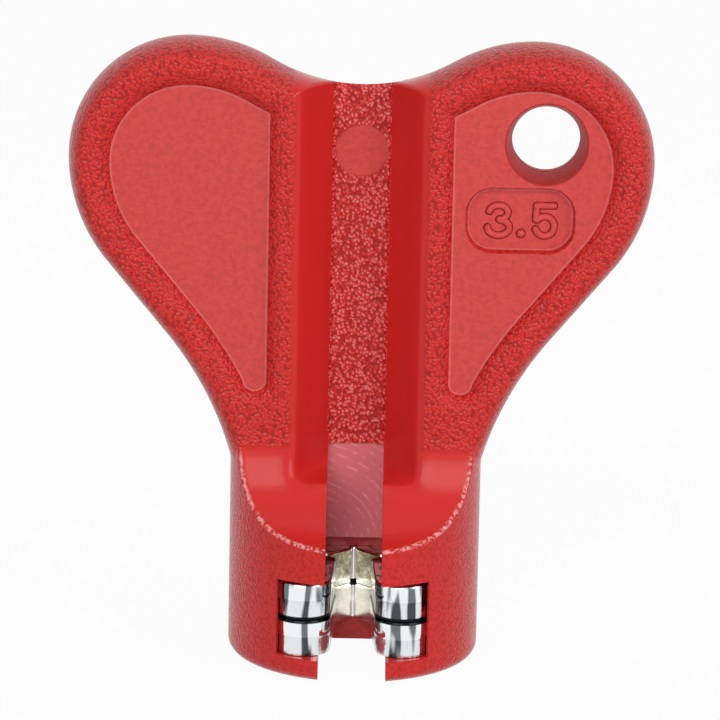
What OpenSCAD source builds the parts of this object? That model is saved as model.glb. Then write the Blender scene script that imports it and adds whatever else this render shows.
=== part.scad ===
/* [Barrel] */
// Radius of the round barrel
barrel_r = 11.4; // [10.8:0.1:13]
// Height at which the wings leave the barrel's sides
barrel_h = 18.3; // [17:0.1:21]
// Rounding of the barrel's bottom rim
rim_round = 1.2; // [0.4:0.1:1.8]

/* [Wings] */
// Width over both wings
span = 52.6; // [50:0.1:58]
// Height of the lobes above the base
height = 56.8; // [54:0.1:62]
// Drop of the dip between the lobes below their tops
dip_drop = 4.2; // [3.2:0.1:6]
// Radius of a lobe's outer top corner
lobe_r = 10.8; // [10:0.1:12]
// Radius of a lobe's inner top
crown_r = 14.7; // [13:0.1:17]
// Radius of a lobe's outer side
shoulder_r = 15; // [13:0.1:17]
// Lean of the straight flank from the upright
flank_lean = 39.5; // [36:0.5:43]
// Radius of the hollow between flank and barrel
throat_r = 31.5; // [26:0.5:38]
// Thickness over the raised rims
wing_t = 8; // [7:0.1:9]
// Width of the rounded outer edge
edge_w = 1.5; // [1:0.1:1.8]
// Width of the level crest of the rim
crest_w = 1.2; // [0.8:0.1:1.6]
// Width of the slope from the crest into the panel
slope_w = 1.1; // [0.6:0.1:1.5]
// Depth of the sunk panel below the crest
panel_depth = 0.9; // [0.4:0.1:1.3]
// Distance of the panel's straight inner side from the middle
panel_in = 8.2; // [7.8:0.1:9.5]
// Height of the panel's lower tip
panel_tip_h = 25; // [24:0.1:27]
// Rounding of the panel's lower tip
panel_tip_r = 1; // [0.6:0.1:1.3]

/* [Spoke groove] */
// Width of the groove's level floor
floor_w = 4.9; // [4.4:0.1:5.4]
// Width of the groove at the crests
groove_w = 11; // [9.6:0.1:11.8]
// Distance of the floor behind the tool's axis
floor_back = 1.5; // [1.2:0.1:2]
// Diameter of the round ejector mark on the floor
ejector_d = 4.8; // [3:0.1:4.8]
// Distance of the ejector mark's centre below the dip
ejector_drop = 6.2; // [4.6:0.1:12]
// Depth of the ejector mark
ejector_depth = 0.1; // [0.05:0.01:0.2]

/* [Lead-in ramp] */
// Height of the ramp at the groove's floor
ramp_h = 15.8; // [15:0.1:17]
// Fall of the ramp towards the front
ramp_fall = 14.8; // [12:0.2:17]
// Radius of the cove between wing and ramp
cove_r = 7; // [5:0.1:8]

/* [Spoke slot] */
// Width of the slot above the jaws
slot_w = 5.1; // [4.6:0.1:5.6]
// Height of the smooth stop face's upper edge
stop_top_h = 19.1; // [18:0.1:20]
// Height of the smooth stop face's lower edge
stop_low_h = 10.1; // [9.6:0.1:11]
// Step from the groove's floor back to the stop face
stop_step = 0.15; // [0.05:0.01:0.3]
// Distance of the pocket's end behind the axis
pocket_back = 3; // [2.8:0.1:3.6]
// Width of the slot through the base
foot_slot_w = 6.1; // [5.6:0.1:7]
// Width of the base opening behind the axis
foot_neck_w = 4.1; // [3.9:0.1:4.6]
// Distance of the base opening's end behind the axis
foot_back = 2.8; // [2.7:0.1:3.4]

/* [Steel jaws] */
// Distance across the flats of the square seat
flats = 3.5; // [3.2:0.05:4]
// Thickness of one jaw plate
plate_t = 3.4; // [2.6:0.1:3.6]
// Height of the lower plate's underside
jaw_low_h = 2.1; // [1.6:0.1:2.4]
// Radius of a jaw's round tip
tip_r = 2.5; // [2:0.1:2.8]
// Distance of a tip's centre from the middle
tip_x = 4.45; // [4.2:0.05:4.7]
// Distance of the tips' ends in front of the axis
tip_front = 9.8; // [9:0.1:10]
// Distance of the plates' back edge behind the axis
jaw_back = 7.5; // [6:0.1:8.5]
// Rounding of the plates' back corners
jaw_corner_r = 4; // [2:0.1:5]
// Width of the gap between the jaws at the square seat
jaw_gap = 3.1; // [2.6:0.1:3.4]
// Radius of the relief in the seat's corners
relief_r = 0.25; // [0.15:0.01:0.35]
// Height and depth of the plates' rolled upper edge
roll = 0.25; // [0.1:0.01:0.4]

/* [Windows] */
// Width over both jaw windows
window_w = 13.7; // [13:0.1:13.8]
// Height of the window's upper edge over the plates
window_over = 0.3; // [0.1:0.05:0.6]
// Distance of the window's back face in front of the axis
window_front = 8.4; // [7.6:0.1:8.8]

/* [Hanging hole] */
// Radius of the hole's straight middle
hole_r = 3.1; // [2.4:0.1:3.4]
// Widening of the hole at each mouth
hole_flare = 0.5; // [0.2:0.1:0.8]
// Depth of the widened mouth
hole_flare_depth = 2; // [1:0.1:2.2]
// Distance of the hole from the middle
hole_x = 16.5; // [15:0.1:17]
// Distance of the hole's centre below the lobes' tops
hole_drop = 8.6; // [8.2:0.1:10.8]

/* [Size plaque] */
// Width of the sunk plaque
plaque_w = 9.8; // [8:0.1:10.4]
// Height of the sunk plaque
plaque_h = 6; // [4:0.1:6.4]
// Rounding of the plaque's corners
plaque_r = 2.4; // [1:0.1:2.9]
// Depth of the plaque below the panel
plaque_depth = 0.7; // [0.3:0.05:1]
// Distance of the plaque's centre from the middle
plaque_x = 14.3; // [13.6:0.1:15]
// Distance of the plaque's centre below the hole's
plaque_drop = 7; // [6.7:0.1:7.7]

/* [Hidden] */
// Gap between the plates and the plastic moulded round them
insert_clearance = 0.02;
// Overrun of every cut past the face that it breaks
over = 1;
$fn = 96;

// Steps along one arc of the outline, and down the rounded edge
arc_steps = 8;
edge_steps = 6;

half_t = wing_t / 2;
half_span = span / 2;
seam_h = jaw_low_h + plate_t;
jaw_top_h = seam_h + plate_t;
half_diagonal = flats / sqrt(2);
dip_h = height - dip_drop;
ejector_h = dip_h - ejector_drop;
hole_h = height - hole_drop;
plaque_mid_h = hole_h - plaque_drop;
tip_y = -(tip_front - tip_r);
jaw_half_w = tip_x + tip_r;

// Centres of the arcs that meet in the wing's outline
lobe = [half_span - lobe_r, height - lobe_r];
crown = [lobe[0], height - crown_r];
dip_r = (lobe[0] * lobe[0] + dip_drop * dip_drop) / (2 * dip_drop) - crown_r;
dip = [0, dip_h + dip_r];
shoulder = [half_span - shoulder_r, lobe[1]];
crown_turn = atan2(dip[1] - crown[1], dip[0] - crown[0]);

// The hollow at the throat touches the flank and ends where the barrel starts
flank_out = [cos(flank_lean), -sin(flank_lean)];
flank_up = [sin(flank_lean), cos(flank_lean)];
flank_top = shoulder + shoulder_r * flank_out;
junction = [barrel_r, barrel_h];
reach = flank_top + throat_r * flank_out - junction;
along = reach * flank_up;
flank_len = along - sqrt(along * along - reach * reach + throat_r * throat_r);
throat = flank_top - flank_len * flank_up + throat_r * flank_out;
throat_end = asin((junction[1] - throat[1]) / throat_r);

// The ramp's plane meets the wing's face here, and the cove starts above it
ramp_corner_h = ramp_h - (floor_back + half_t) * tan(ramp_fall);
cove_tangent = cove_r * tan((90 - ramp_fall) / 2);
cove_top_h = ramp_corner_h + cove_tangent;

// Point inside the barrel that closes the wing's outline
root = [tip_x, ramp_corner_h];

function arc(c, r, a0, a1) = [
    for (k = [0:arc_steps])
        let (a = a0 + (a1 - a0) * k / arc_steps)
            [c[0] + r * cos(a), c[1] + r * sin(a)]
];

// One wing's outline, moved inwards by inset, from the dip to the barrel
function wing_half(inset) = concat(
    arc(dip, dip_r + inset, -90, crown_turn - 180),
    arc(crown, crown_r - inset, crown_turn, 90),
    arc(lobe, lobe_r - inset, 90, 0),
    arc(shoulder, shoulder_r - inset, 0, -flank_lean),
    arc(throat, throat_r + inset, 180 - flank_lean, 180 - throat_end),
    [root]
);

function mirrored(points) = [
    for (k = [len(points) - 1:-1:0])
        if (points[k][0] > 0) [-points[k][0], points[k][1]]
];

// Both wings in one closed outline
function wings_outline(inset) = concat(wing_half(inset), mirrored(wing_half(inset)));

// A sunk panel's outline: the wing's own, moved inwards, and cut by the straight inner side
function panel_outline(inset, inner_x, low_r) =
    let (
        start = acos(inner_x / (dip_r + inset)),
        low = [panel_in + panel_tip_r, panel_tip_h + panel_tip_r],
        end = asin((low[1] - throat[1]) / (throat_r + inset)),
        far_x = throat[0] - (throat_r + inset) * cos(end)
    )
    concat(
        arc(dip, dip_r + inset, -start, crown_turn - 180),
        arc(crown, crown_r - inset, crown_turn, 90),
        arc(lobe, lobe_r - inset, 90, 0),
        arc(shoulder, shoulder_r - inset, 0, -flank_lean),
        arc(throat, throat_r + inset, 180 - flank_lean, 180 - end),
        [for (p = arc([0, 0], 1, 0, -180))
            [(inner_x + far_x) / 2 + p[0] * (far_x - inner_x) / 2, low[1] + p[1] * low_r]]
    );

// Closed skin over rings of points; each ring lies at one depth y
module ringed_solid(rings, depths) {
    count = len(rings[0]);
    last = len(rings) - 1;
    points = [for (j = [0:last]) for (p = rings[j]) [p[0], depths[j], p[1]]];
    sides = [
        for (j = [0:last - 1]) for (k = [0:count - 1])
            [j * count + k, (j + 1) * count + k,
             (j + 1) * count + (k + 1) % count, j * count + (k + 1) % count]
    ];
    front = [for (k = [0:count - 1]) k];
    back = [for (k = [count - 1:-1:0]) last * count + k];
    polyhedron(points, concat([front, back], sides));
}

// Wing plate with its outer edge rounded from the middle to both crests
module wing_plate() {
    turns = [for (k = [-edge_steps:edge_steps]) 90 * k / edge_steps];
    ringed_solid(
        [for (t = turns) wings_outline(edge_w * (1 - cos(t)))],
        [for (t = turns) half_t * sin(t)]
    );
}

// Sunk panel with a sloping wall, cut into one face of one wing
module panel_cut() {
    rim_w = edge_w + crest_w + slope_w;
    spread = slope_w * over / panel_depth;
    ringed_solid(
        [
            panel_outline(rim_w - slope_w - spread, panel_in - slope_w - spread,
                          panel_tip_r + slope_w + spread),
            panel_outline(rim_w, panel_in, panel_tip_r)
        ],
        [-half_t - over, -half_t + panel_depth]
    );
}

// Barrel with a rounded bottom rim, before the ramps are cut
module barrel_blank() {
    rotate_extrude()
        union() {
            square([barrel_r - rim_round, cove_top_h]);
            translate([0, rim_round]) square([barrel_r, barrel_h - rim_round]);
            translate([barrel_r - rim_round, rim_round]) circle(rim_round);
        }
}

// Profile in front of the wings: upright face, cove, falling ramp
function ramp_profile() =
    let (
        cove = [-half_t - cove_r, cove_top_h],
        far = barrel_r + over,
        far_z = ramp_h - (floor_back + far) * tan(ramp_fall)
    )
    concat(
        [[-half_t, height]],
        arc(cove, cove_r, 0, ramp_fall - 90),
        [[-far, far_z], [-far, height]]
    );

module ramp_cut() {
    rotate([90, 0, 90])
        linear_extrude(2 * (barrel_r + over), center = true)
            polygon(ramp_profile());
}

// Groove for the spoke, which ends on the ramp
module groove_cut() {
    depth = half_t + floor_back;
    wall = (groove_w - floor_w) / 2 / depth;
    mouth = groove_w / 2 + wall * over;
    intersection() {
        linear_extrude(height + over)
            polygon([
                [-floor_w / 2, floor_back], [floor_w / 2, floor_back],
                [mouth, -half_t - over], [-mouth, -half_t - over]
            ]);
        translate([-span / 2, floor_back, ramp_h])
            rotate([ramp_fall, 0, 0])
                translate([0, -span, 0]) cube([span, 2 * span, 2 * height]);
    }
    translate([0, floor_back + ejector_depth, ejector_h])
        rotate([90, 0, 0]) cylinder(r = ejector_d / 2, h = depth);
}

module middle_box(w, y0, y1, z0, z1) {
    translate([-w / 2, y0, z0]) cube([w, y1 - y0, z1 - z0]);
}

// Slot from the ramp down to the jaws, with the pocket above them
module slot_cut() {
    front = -barrel_r - over;
    middle_box(slot_w, front, floor_back + stop_step, stop_low_h, stop_top_h);
    middle_box(slot_w, front, pocket_back, jaw_top_h - over / 2, stop_low_h);
}

// Opening through the base, wide in front of the axis and narrow behind it
module foot_cut() {
    shoulder_in = half_diagonal - foot_slot_w / 2 - relief_r;
    neck_in = half_diagonal - foot_neck_w / 2 + relief_r;
    half = [
        [foot_slot_w / 2, -barrel_r - over], [foot_slot_w / 2, shoulder_in],
        [foot_neck_w / 2, neck_in], [foot_neck_w / 2, foot_back]
    ];
    translate([0, 0, -over])
        linear_extrude(over + jaw_low_h + over / 2)
            polygon(concat(half, [for (k = [3:-1:0]) [-half[k][0], half[k][1]]]));
}

// Plan of a jaw plate without its seat and gap, grown by extra
module jaw_blank(extra) {
    for (side = [-1, 1])
        translate([side * tip_x, tip_y]) circle(tip_r + extra);
    translate([-jaw_half_w - extra, tip_y])
        square([2 * (jaw_half_w + extra), jaw_back - jaw_corner_r - tip_y]);
    for (side = [-1, 1])
        translate([side * (jaw_half_w - jaw_corner_r), jaw_back - jaw_corner_r])
            circle(jaw_corner_r + extra);
    back_half = jaw_half_w - jaw_corner_r;
    translate([-back_half, 0]) square([2 * back_half, jaw_back + extra]);
}

// Square seat, point to the front, with relieved corners and the flared gap
module seat_cut(extra) {
    rotate(45) square(flats + 2 * extra, center = true);
    for (turn = [0:90:180])
        rotate(turn) translate([half_diagonal, 0]) circle(relief_r + extra);
    gap = jaw_gap / 2 + extra;
    mouth = tip_x - tip_r + extra;
    polygon([
        [-gap, 0], [-gap, gap - half_diagonal], [-mouth, tip_y],
        [-mouth, -barrel_r - over], [mouth, -barrel_r - over],
        [mouth, tip_y], [gap, gap - half_diagonal], [gap, 0]
    ]);
}

module jaw_plate() {
    linear_extrude(plate_t - roll)
        difference() {
            jaw_blank(0);
            seat_cut(0);
        }
    translate([0, 0, plate_t - roll])
        linear_extrude(roll)
            difference() {
                jaw_blank(-roll);
                seat_cut(0);
            }
}

// Space that the two plates fill in the plastic, with the gap in front of them
module jaw_space() {
    translate([0, 0, jaw_low_h - insert_clearance])
        linear_extrude(2 * (plate_t + insert_clearance)) jaw_blank(insert_clearance);
    middle_box(2 * tip_x, -barrel_r - over, tip_y, jaw_low_h, jaw_top_h);
}

module window_cut() {
    middle_box(window_w, -barrel_r - over, -window_front, jaw_low_h,
               jaw_top_h + window_over);
}

module hole_cut() {
    face = half_t - panel_depth;
    translate([hole_x, 0, hole_h])
        rotate([90, 0, 0]) {
            cylinder(r = hole_r, h = wing_t + 2 * over, center = true);
            for (side = [0, 1])
                mirror([0, 0, side])
                    translate([0, 0, face - hole_flare_depth])
                        cylinder(
                            r1 = hole_r,
                            r2 = hole_r + hole_flare * (hole_flare_depth + over) / hole_flare_depth,
                            h = hole_flare_depth + over
                        );
        }
}

module plaque_cut() {
    reach_x = plaque_w / 2 - plaque_r;
    reach_z = plaque_h / 2 - plaque_r;
    translate([plaque_x, plaque_depth + panel_depth - half_t, plaque_mid_h])
        rotate([90, 0, 0])
            linear_extrude(plaque_depth + over) {
                for (side = [-1, 1], end = [-1, 1])
                    translate([side * reach_x, end * reach_z]) circle(plaque_r);
                square([plaque_w, 2 * reach_z], center = true);
                square([2 * reach_x, plaque_h], center = true);
            }
}

module handle() {
    color("crimson")
        difference() {
            union() {
                difference() {
                    wing_plate();
                    for (side = [0, 1], face = [0, 1])
                        mirror([side, 0, 0]) mirror([0, face, 0]) panel_cut();
                }
                difference() {
                    barrel_blank();
                    for (face = [0, 1]) mirror([0, face, 0]) ramp_cut();
                }
            }
            plaque_cut();
            groove_cut();
            slot_cut();
            foot_cut();
            jaw_space();
            window_cut();
            hole_cut();
        }
}

module upper_jaw_plate() {
    color("silver") translate([0, 0, seam_h]) jaw_plate();
}

module lower_jaw_plate() {
    color("silver") translate([0, 0, jaw_low_h]) jaw_plate();
}

handle();
upper_jaw_plate();
lower_jaw_plate();
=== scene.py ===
# %% [markdown]
# # A spoke wrench
# A spoke wrench turns the square nipples that tighten a bicycle wheel's spokes. This one is a
# red plastic handle with two wings, moulded round two stamped steel jaws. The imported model
# gives the frame: every piece here is made in the same place and at the same size, and then
# stands in for the plain solid of the same name.

import math

import bmesh
import bpy
from mathutils import Matrix, Vector


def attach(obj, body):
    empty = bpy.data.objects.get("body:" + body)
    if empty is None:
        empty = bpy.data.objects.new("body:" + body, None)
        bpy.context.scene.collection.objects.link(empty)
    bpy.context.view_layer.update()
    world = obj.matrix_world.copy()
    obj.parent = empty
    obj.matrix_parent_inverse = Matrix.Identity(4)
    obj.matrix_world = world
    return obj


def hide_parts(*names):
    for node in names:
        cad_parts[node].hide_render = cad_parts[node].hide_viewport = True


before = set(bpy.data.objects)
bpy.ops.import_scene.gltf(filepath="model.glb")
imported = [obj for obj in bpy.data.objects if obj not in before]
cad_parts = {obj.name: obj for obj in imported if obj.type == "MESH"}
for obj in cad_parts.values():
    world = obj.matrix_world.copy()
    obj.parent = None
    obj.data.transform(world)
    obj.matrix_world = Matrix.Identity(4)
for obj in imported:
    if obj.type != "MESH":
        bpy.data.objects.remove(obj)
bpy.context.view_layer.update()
print("Nodes:", sorted(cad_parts))

# %% [markdown]
# ## Sizes
# The solids were drawn in millimetres, so the pieces are modelled in millimetres too, and made
# metres only when they are finished. Small numbers near one are also kinder to Blender's merge
# distances than numbers near a thousandth. Those distances are WELD and, across a mirror's seam,
# SEAM_WELD. Cutters run OVER past what they cut.

# %% Sizes of the handle, in millimetres
MM = 0.001
WELD = 0.0005
SEAM_WELD = 0.001
OVER = 1

BARREL_R = 11.4
BARREL_H = 18.3
RIM_ROUND = 1.2
SPAN = 52.6
HEIGHT = 56.8
DIP_DROP = 4.2
LOBE_R = 10.8
CROWN_R = 14.7
SHOULDER_R = 15.0
FLANK_LEAN = 39.5
THROAT_R = 31.5
WING_T = 8.0
EDGE_W = 1.5
RIM_W = 3.8
PANEL_DEPTH = 0.9
PANEL_IN = 8.2
PANEL_TIP_H = 26.0
PANEL_TIP_R = 1.0
FLOOR_W = 4.9
GROOVE_W = 11.0
FLOOR_BACK = 1.5
RAMP_H = 15.8
RAMP_FALL = 14.8
COVE_R = 9.4

half_t = WING_T / 2
ramp_slope = math.tan(math.radians(RAMP_FALL))
ramp_corner_h = RAMP_H - (FLOOR_BACK + half_t) * ramp_slope
cove_top_h = ramp_corner_h + COVE_R * math.tan(math.radians((90 - RAMP_FALL) / 2))
print("The cove meets the wing", round(cove_top_h, 2), "mm above the base")

# %% [markdown]
# ## Drawing an outline with a compass
# The wings' outline is a chain of arcs that touch each other. A draughtsman would set the
# compass on each centre in turn, and the spin operator does the same: it swings the chain's
# last vertex round a centre. A mirror then gives the other wing.

# %% Helpers that draw a chain of lines and arcs
FRONT_ON = (0, -1, 0)
FROM_ABOVE = (0, 0, 1)


def swing(bm, vert, centre, degrees, steps, axis=FRONT_ON):
    """Swings the chain's last vertex round a centre and returns the new last vertex."""
    made = bmesh.ops.spin(bm, geom=[vert], cent=centre, axis=axis, steps=steps,
                          angle=math.radians(degrees))
    return made["geom_last"][0]


def straight(bm, vert, end):
    """Draws a straight line from the chain's last vertex and returns its end."""
    made = bmesh.ops.extrude_vert_indiv(bm, verts=[vert])["verts"][0]
    made.co = end
    return made


def pull(bm, faces, vec):
    """Pulls faces out along a vector, as an extrusion."""
    made = bmesh.ops.extrude_face_region(bm, geom=faces)
    bmesh.ops.translate(bm, vec=vec,
                        verts=[g for g in made["geom"] if isinstance(g, bmesh.types.BMVert)])


def add_mirror_image(bm, weld):
    """Adds the other half, mirrored from right to left, and welds the two."""
    bmesh.ops.mirror(bm, geom=bm.verts[:] + bm.edges[:] + bm.faces[:], axis="X",
                     merge_dist=SEAM_WELD, matrix=Matrix.Identity(4))
    bmesh.ops.remove_doubles(bm, verts=bm.verts, dist=weld)


# %% Centres of the arcs that touch each other
lobe = (SPAN / 2 - LOBE_R, HEIGHT - LOBE_R)
crown = (lobe[0], HEIGHT - CROWN_R)
dip_r = (lobe[0] ** 2 + DIP_DROP ** 2) / (2 * DIP_DROP) - CROWN_R
dip = (0, HEIGHT - DIP_DROP + dip_r)
shoulder = (SPAN / 2 - SHOULDER_R, lobe[1])
crown_turn = math.degrees(math.atan2(dip[1] - crown[1], dip[0] - crown[0]))

lean = math.radians(FLANK_LEAN)
flank_out = Vector((math.cos(lean), -math.sin(lean)))
flank_up = Vector((math.sin(lean), math.cos(lean)))
flank_top = Vector(shoulder) + SHOULDER_R * flank_out
reach = flank_top + THROAT_R * flank_out - Vector((BARREL_R, BARREL_H))
along = reach.dot(flank_up)
flank_len = along - math.sqrt(along ** 2 - reach.length_squared + THROAT_R ** 2)
throat = flank_top - flank_len * flank_up + THROAT_R * flank_out
print("The straight flank is", round(flank_len, 2), "mm long")


# %% The outline from the dip round one lobe and down to a given height
def draw_wing(bm, y, inset, from_x, low_z):
    """Draws one wing's outline, moved inwards, and returns its first and last vertices."""
    r = dip_r + inset
    begin = math.degrees(math.acos(from_x / r))
    first = bm.verts.new((from_x, y, dip[1] - math.sqrt(r * r - from_x ** 2)))
    vert = first
    for centre, degrees, steps in ((dip, crown_turn - 180 + begin, 16),
                                   (crown, 90 - crown_turn, 20), (lobe, -90, 40),
                                   (shoulder, -FLANK_LEAN, 24)):
        vert = swing(bm, vert, (centre[0], y, centre[1]), degrees, steps)
    foot = throat - (THROAT_R + inset) * flank_out
    vert = straight(bm, vert, (foot.x, y, foot.y))
    end = math.degrees(math.asin((low_z - throat.y) / (THROAT_R + inset)))
    return first, swing(bm, vert, (throat.x, y, throat.y), FLANK_LEAN - end, 32)


def piece_from(bm, name, merge=WELD):
    """Closes a bmesh into an object, with its faces turned outwards."""
    bmesh.ops.remove_doubles(bm, verts=bm.verts, dist=merge)
    bmesh.ops.recalc_face_normals(bm, faces=bm.faces)
    mesh = bpy.data.meshes.new(name)
    bm.to_mesh(mesh)
    bm.free()
    piece = bpy.data.objects.new(name, mesh)
    bpy.context.scene.collection.objects.link(piece)
    return piece


# %% [markdown]
# ## The wing plate
# The wings' outer edge is rounded from the middle to both faces, as half an oval. So the outline
# is drawn once for each step of that oval, always with the same number of points, the loops
# are bridged, and a mirror closes the other half.

# %% The plate with its rounded edge
EDGE_STEPS = 8


def make_wing_plate():
    bm = bmesh.new()
    loops = []
    for k in range(-EDGE_STEPS, EDGE_STEPS + 1):
        turn = math.pi / 2 * k / EDGE_STEPS
        y = half_t * math.sin(turn)
        before = set(bm.edges)
        last = draw_wing(bm, y, EDGE_W * (1 - math.cos(turn)), 0, BARREL_H)[1]
        last = straight(bm, last, (BARREL_R / 2, y, ramp_corner_h))
        straight(bm, last, (0, y, ramp_corner_h))
        loops.append([e for e in bm.edges if e not in before])
    for low, high in zip(loops, loops[1:]):
        bmesh.ops.bridge_loops(bm, edges=low + high)
    add_mirror_image(bm, WELD)
    for side in (-1, 1):
        rim = [e for e in bm.edges if e.is_boundary and e.verts[0].co.y * side > 1]
        bmesh.ops.contextual_create(bm, geom=rim)
    return piece_from(bm, "wing_plate")


# %% [markdown]
# ## The barrel and its ramps
# The barrel is a cone of equal radii with a beveled bottom rim. In front and behind it is cut
# by a ramp that leads the spoke into the slot; the ramp runs up into the wing's face through a
# cove, so the cutter's profile is two lines with an arc between them.

# %% The barrel
ROUND_STEPS = 160


def make_barrel():
    bm = bmesh.new()
    bmesh.ops.create_cone(bm, cap_ends=True, segments=ROUND_STEPS, radius1=BARREL_R,
                          radius2=BARREL_R, depth=cove_top_h,
                          matrix=Matrix.Translation((0, 0, cove_top_h / 2)))
    rim = [e for e in bm.edges if max(v.co.z for v in e.verts) < 0.01]
    bmesh.ops.bevel(bm, geom=rim, offset=RIM_ROUND, segments=6, profile=0.5, affect="EDGES",
                    material=-1)
    return piece_from(bm, "barrel")


# %% The cutter in front of the wings
def make_ramp_cutter(name, side):
    bm = bmesh.new()
    far = BARREL_R + OVER
    vert = bm.verts.new((-far, -half_t, HEIGHT))
    vert = straight(bm, vert, (-far, -half_t, cove_top_h))
    vert = swing(bm, vert, (-far, -half_t - COVE_R, cove_top_h), RAMP_FALL - 90, 20, (1, 0, 0))
    vert = straight(bm, vert, (-far, -far, RAMP_H - (FLOOR_BACK + far) * ramp_slope))
    straight(bm, vert, (-far, -far, HEIGHT))
    pull(bm, bmesh.ops.contextual_create(bm, geom=bm.edges)["faces"], (2 * far, 0, 0))
    bmesh.ops.scale(bm, vec=(1, side, 1), verts=bm.verts)
    return piece_from(bm, name)


# %% [markdown]
# ## The spoke groove
# The groove's walls lean out to the wings and round over into them. The rounding shrinks where
# the cove comes forward, so the cutter is a loft: one section for each height, all with the
# same number of points, bridged loop to loop. Its lower end is a narrow ledge on each side of
# the slot, so the cove itself runs on to the slot.

# %% The groove's cutter
GROOVE_ROUND = 0.82
WALL_ROUND_IN = 2.4
ROUND_END = 0.25
ROUND_FADE_H = 17.0
LEDGE_Y = -5.1
LEDGE_H = 17.1
LEDGE_RISE = math.radians(4)
SECTION_STEPS = 8
CURVED_FROM = 12
CURVED_STEP = 0.5
CURVED_STEPS = 21
STRAIGHT_AT = (30, 45)


def surface_y(z):
    """How far forward the wing's face or the cove lies at a height."""
    drop = min(max(cove_top_h - z, 0), COVE_R * math.cos(math.radians(RAMP_FALL)))
    return -half_t - COVE_R + math.sqrt(COVE_R ** 2 - drop ** 2)


def groove_section(bm, z):
    """One closed loop of the groove at one height."""
    face_y = surface_y(z)
    fade = min(max((z - ROUND_FADE_H) / (cove_top_h - ROUND_FADE_H), 0), 1)
    round_w = ROUND_END + (GROOVE_ROUND - ROUND_END) * fade
    slope = Vector((GROOVE_W / 2 - FLOOR_W / 2, -half_t - FLOOR_BACK)).normalized()
    corner = Vector((GROOVE_W / 2, face_y))
    upright = min(-half_t - face_y, round_w)
    wall_w = ROUND_END + (WALL_ROUND_IN - ROUND_END) * fade
    low = corner + Vector((0, upright)) - slope * (wall_w - upright)
    high = corner + Vector((round_w, 0))
    half = [Vector((FLOOR_W / 2, FLOOR_BACK)), low]
    for k in range(1, SECTION_STEPS + 1):
        t = k / SECTION_STEPS
        half.append(low.lerp(corner, t).lerp(corner.lerp(high, t), t))
    half.append(Vector((high.x, -BARREL_R - OVER)))
    points = half + [Vector((-p.x, p.y)) for p in reversed(half)]
    loop = [bm.verts.new((p.x, p.y, z)) for p in points]
    return [bm.edges.new((a, b)) for a, b in zip(loop, loop[1:] + loop[:1])]


def make_groove_cutter():
    bm = bmesh.new()
    heights = [CURVED_FROM + k * CURVED_STEP for k in range(CURVED_STEPS)]
    heights += [*STRAIGHT_AT, HEIGHT + OVER]
    loops = [groove_section(bm, z) for z in heights]
    for low, high in zip(loops, loops[1:]):
        bmesh.ops.bridge_loops(bm, edges=low + high)
    bmesh.ops.holes_fill(bm, edges=bm.edges, sides=0)
    bmesh.ops.recalc_face_normals(bm, faces=bm.faces)
    down = Vector((0, math.sin(LEDGE_RISE), -math.cos(LEDGE_RISE)))
    cut = bmesh.ops.bisect_plane(
        bm, geom=bm.verts[:] + bm.edges[:] + bm.faces[:], plane_co=(0, LEDGE_Y, LEDGE_H),
        plane_no=down, clear_outer=True)
    edges = [g for g in cut["geom_cut"] if isinstance(g, bmesh.types.BMEdge)]
    bmesh.ops.holes_fill(bm, edges=edges, sides=0)
    return piece_from(bm, "groove_cutter")


# %% [markdown]
# ## Booleans, and one skin
# A Boolean modifier joins the plate and the barrel and takes the cutters away. That leaves
# knife-sharp lines where the shapes meet, which a moulding never has. So the result gets one
# even skin with a voxel Remesh, a few rounds of smoothing melt the sharp lines into small
# fillets, and Decimate takes away the triangles that the flat faces don't need.

# %% Helpers that apply modifiers
def apply_modifiers(piece):
    """Puts what the modifiers make into the piece's own mesh."""
    graph = bpy.context.evaluated_depsgraph_get()
    mesh = bpy.data.meshes.new_from_object(piece.evaluated_get(graph))
    piece.modifiers.clear()
    old = piece.data
    piece.data = mesh
    bpy.data.meshes.remove(old)


def combine(piece, tool, operation):
    """Joins the tool to the piece, or cuts it away, and deletes the tool."""
    step = piece.modifiers.new(operation, "BOOLEAN")
    step.operation, step.object, step.solver = operation, tool, "MANIFOLD"
    step.material_mode = "TRANSFER"
    apply_modifiers(piece)
    bpy.data.objects.remove(tool)
    print(operation, "->", len(piece.data.polygons), "faces")


# %% The handle's body as one skin
VOXEL = 0.14
SKIN_TRIANGLES = 150000
MELT_FACTOR = 0.5
MELT_ROUNDS = 6

body = make_wing_plate()
barrel = make_barrel()
for name, side in (("front_ramp", 1), ("back_ramp", -1)):
    combine(barrel, make_ramp_cutter(name, side), "DIFFERENCE")
combine(body, barrel, "UNION")
combine(body, make_groove_cutter(), "DIFFERENCE")

skin = body.modifiers.new("skin", "REMESH")
skin.mode, skin.voxel_size, skin.use_smooth_shade = "VOXEL", VOXEL, True
melt = body.modifiers.new("melt", "SMOOTH")
melt.factor, melt.iterations = MELT_FACTOR, MELT_ROUNDS
apply_modifiers(body)
print("Skin:", len(body.data.polygons), "faces")

# %% [markdown]
# Where the groove's walls run down to the ledge the mould has a wide fillet. Many more rounds of
# the same smoothing make it, held to the neighbourhood of that corner by a vertex group.

# %% The wide fillet at the foot of the groove
CORNER_IN = Vector((FLOOR_W / 2, FLOOR_BACK, LEDGE_H + 0.4))
CORNER_OUT = Vector((5.6, -4.6, LEDGE_H + 0.2))
FILLET_NEAR = 1.3
FILLET_FAR = 3.2
FILLET_MM2 = 4.0
ASIDE_FULL = 6.6
ASIDE_NONE = 8.6


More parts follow.
